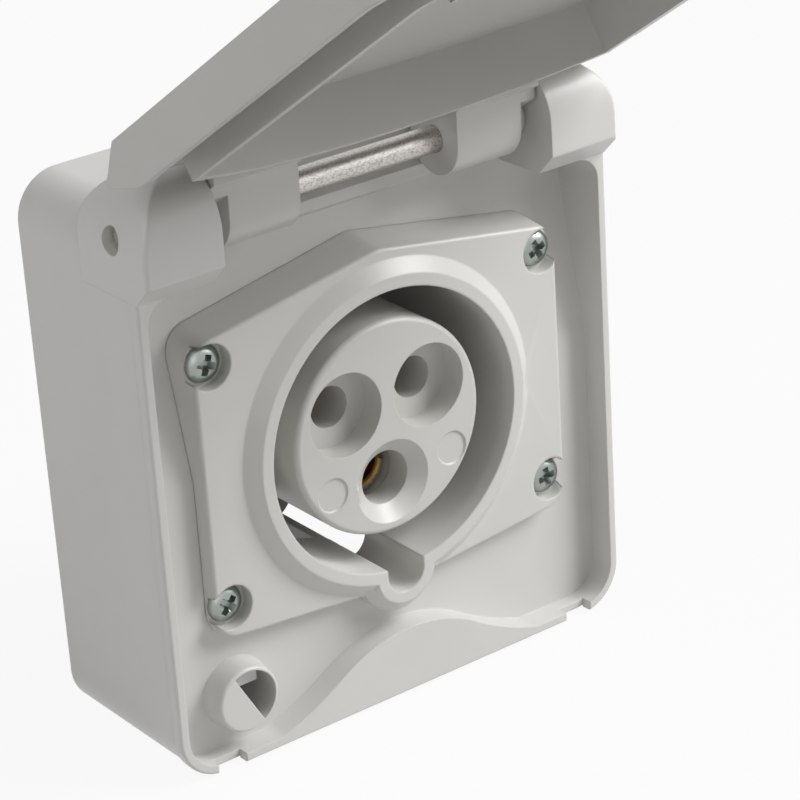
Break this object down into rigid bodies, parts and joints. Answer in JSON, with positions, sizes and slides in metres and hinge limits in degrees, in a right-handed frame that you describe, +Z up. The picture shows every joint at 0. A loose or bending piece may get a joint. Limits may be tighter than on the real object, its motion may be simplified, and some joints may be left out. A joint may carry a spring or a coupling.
{
  "type": "outdoor weatherproof socket",
  "caption": "Square wall socket outlet with a hinged weatherproof lid held open, a round recessed plug opening with keyway, round contact holes and a quarter-turn lid latch.",
  "frame": {"origin": "where the axis of the plug opening meets the rear plane of the housing, in the middle of the fixing holes", "axes": "+X to the right as seen by the user, -Y out of the wall towards the user, +Z up towards the lid's hinge"},
  "size_m": [0.0898, 0.1212, 0.1464],
  "materials": {
    "housing": "satin moulded",
    "plate": "satin moulded",
    "carrier": "satin moulded",
    "lid": "satin moulded",
    "knob": "satin moulded",
    "rubber": "matte",
    "brass": "machined",
    "steel": "drawn",
    "zinc": "zinc plated"
  },
  "bodies": {
    "base": {"housing": "housing", "rear_seal": "rubber", "socket_plate": "plate", "plate_gasket": "rubber", "contact_carrier": "carrier", "hinge_pin": "steel", "line_contact": "brass", "line_spring": "steel", "line_terminal_screw": "zinc", "neutral_contact": "brass", "neutral_spring": "steel", "neutral_terminal_screw": "zinc", "earth_contact": "brass", "earth_spring": "steel", "earth_terminal_screw": "zinc", "plate_screw_top_left": "zinc", "plate_screw_top_right": "zinc", "plate_screw_bottom_left": "zinc", "plate_screw_bottom_right": "zinc", "carrier_screw_left": "zinc", "carrier_screw_right": "zinc"},
    "lid": {"lid": "lid", "latch_ring": "rubber"},
    "latch": {"latch_knob": "knob", "latch_bolt": "steel", "latch_clip": "steel"}
  },
  "joints": [
    {"name": "lid_hinge", "type": "hinge", "parent": "base", "child": "lid", "pos_m": [0, -0.0261, 0.0419], "axis": [-1, 0, 0], "range_deg": [-123.7, 41]},
    {"name": "latch_turn", "type": "hinge", "parent": "lid", "child": "latch", "pos_m": [-0.02864, -0.08763, 0.08894], "axis": [0, -0.5548, -0.832], "range_deg": [0, 90]}
  ]
}
